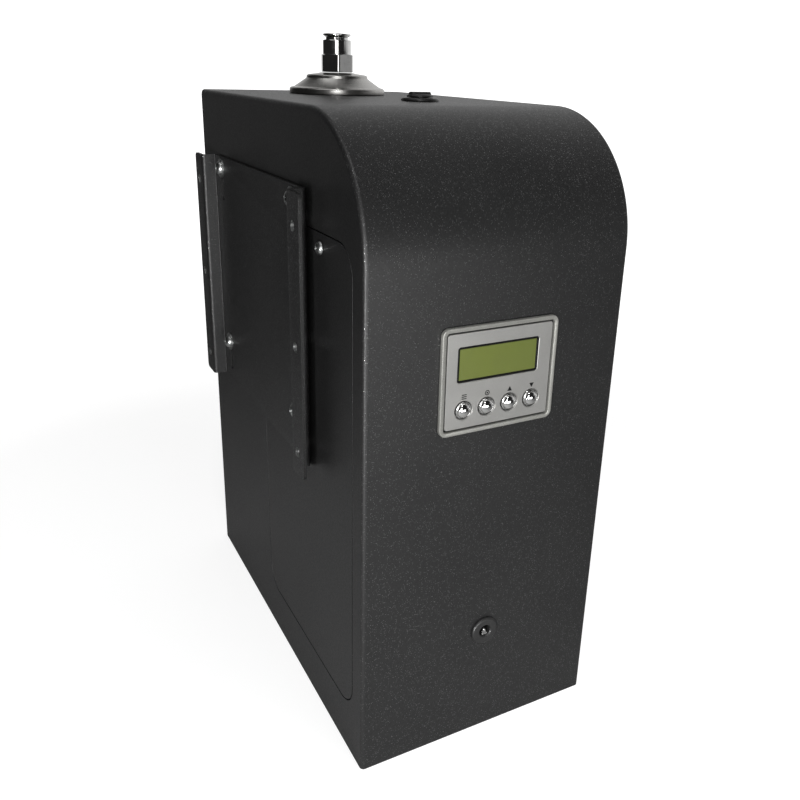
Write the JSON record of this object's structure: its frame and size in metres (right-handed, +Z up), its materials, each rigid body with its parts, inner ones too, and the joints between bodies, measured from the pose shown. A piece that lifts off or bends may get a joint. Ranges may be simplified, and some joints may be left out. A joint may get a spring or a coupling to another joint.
{
  "type": "fog machine",
  "caption": "Upright sheet-steel cold-air fog machine with an arched front, wall bracket, display, buttons, side door, roof lock and tube outlet over an inner bottle and air pump.",
  "frame": {"origin": "middle of the case's underside, on the surface that it stands on", "axes": "+X is the case's right side seen from the front, +Y is the back, +Z is up; the wall bracket is on -X"},
  "size_m": [0.1397, 0.2268, 0.3206],
  "materials": {
    "black_paint": "fine-textured semi-gloss black powder coat",
    "zinc": "bright zinc plating",
    "steel": "turned, brushed stainless",
    "chrome": "polished plating",
    "silver_paint": "warm silver paint on moulded plastic, satin",
    "display": "olive-green liquid-crystal glass, blank",
    "white_plastic": "diffusing white",
    "black_plastic": "moulded, fine grain",
    "rubber": "matt",
    "silicone": "milky, smooth",
    "brass": "turned",
    "cast_metal": "as cast",
    "bottle_plastic": "blow-moulded, satin",
    "board": "green solder mask"
  },
  "bodies": {
    "case": {"air_tube": "silicone", "atomiser_head": "brass", "base_plate": "black_paint", "base_screw_1": "zinc", "base_screw_2": "zinc", "base_screw_3": "zinc", "base_screw_4": "zinc", "bottle_collar": "black_plastic", "bottle_cradle": "rubber", "bracket_screw_1": "zinc", "bracket_screw_2": "zinc", "bracket_screw_3": "zinc", "bracket_screw_4": "zinc", "control_board": "board", "dc_lead": "rubber", "dip_tube": "silicone", "display_backlight": "white_plastic", "display_gasket": "rubber", "display_glass": "display", "hinge_leaf_lower": "zinc", "hinge_leaf_upper": "zinc", "hinge_pin_lower": "zinc", "hinge_pin_upper": "zinc", "housing": "black_paint", "jack_body": "black_plastic", "jack_nut": "zinc", "jack_pin": "chrome", "lock_barrel": "black_plastic", "lock_nut": "zinc", "mist_tube": "silicone", "outlet_fitting": "chrome", "outlet_flange": "steel", "outlet_nut": "zinc", "outlet_seal": "rubber", "outlet_washer": "rubber", "panel_bezel": "silver_paint", "panel_plate": "silver_paint", "partition_plate": "zinc", "pump_body": "cast_metal", "pump_cover": "cast_metal", "pump_head_left": "black_plastic", "pump_head_right": "black_plastic", "pump_lead": "rubber", "pump_mat": "rubber", "scent_bottle": "bottle_plastic", "service_panel": "black_paint", "service_panel_screw": "zinc", "tube_grommet": "rubber", "wall_bracket": "black_paint"},
    "door": {"side_door": "black_paint", "door_catch": "zinc"},
    "lock": {"lock_thumb_turn": "black_plastic", "lock_cam": "zinc", "lock_cam_nut": "zinc"},
    "mode_button": {"mode_button": "chrome"},
    "set_button": {"set_button": "chrome"},
    "up_button": {"up_button": "chrome"},
    "down_button": {"down_button": "chrome"},
    "release_collar": {"outlet_collar": "chrome"},
    "armature": {"pump_armature": "steel"}
  },
  "joints": [
    {"name": "door_swing", "type": "hinge", "parent": "case", "child": "door", "pos_m": [0.0655, 0.0882, 0.145], "axis": [0, 0, 1], "range_deg": [0, 110]},
    {"name": "lock_turn", "type": "hinge", "parent": "case", "child": "lock", "pos_m": [0.0068, -0.0215, 0.28], "axis": [0, 0, 1], "range_deg": [0, 90]},
    {"name": "mode_button_press", "type": "slide", "parent": "case", "child": "mode_button", "axis": [0, 1, 0], "range_m": [0, 0.0008], "stiffness_N_per_m": 600},
    {"name": "set_button_press", "type": "slide", "parent": "case", "child": "set_button", "axis": [0, 1, 0], "range_m": [0, 0.0008], "stiffness_N_per_m": 600},
    {"name": "up_button_press", "type": "slide", "parent": "case", "child": "up_button", "axis": [0, 1, 0], "range_m": [0, 0.0008], "stiffness_N_per_m": 600},
    {"name": "down_button_press", "type": "slide", "parent": "case", "child": "down_button", "axis": [0, 1, 0], "range_m": [0, 0.0008], "stiffness_N_per_m": 600},
    {"name": "release_collar_push", "type": "slide", "parent": "case", "child": "release_collar", "axis": [0, 0, -1], "range_m": [0, 0.001], "stiffness_N_per_m": 800},
    {"name": "armature_stroke", "type": "slide", "parent": "case", "child": "armature", "axis": [1, 0, 0], "range_m": [-0.001, 0.001], "stiffness_N_per_m": 3000}
  ]
}
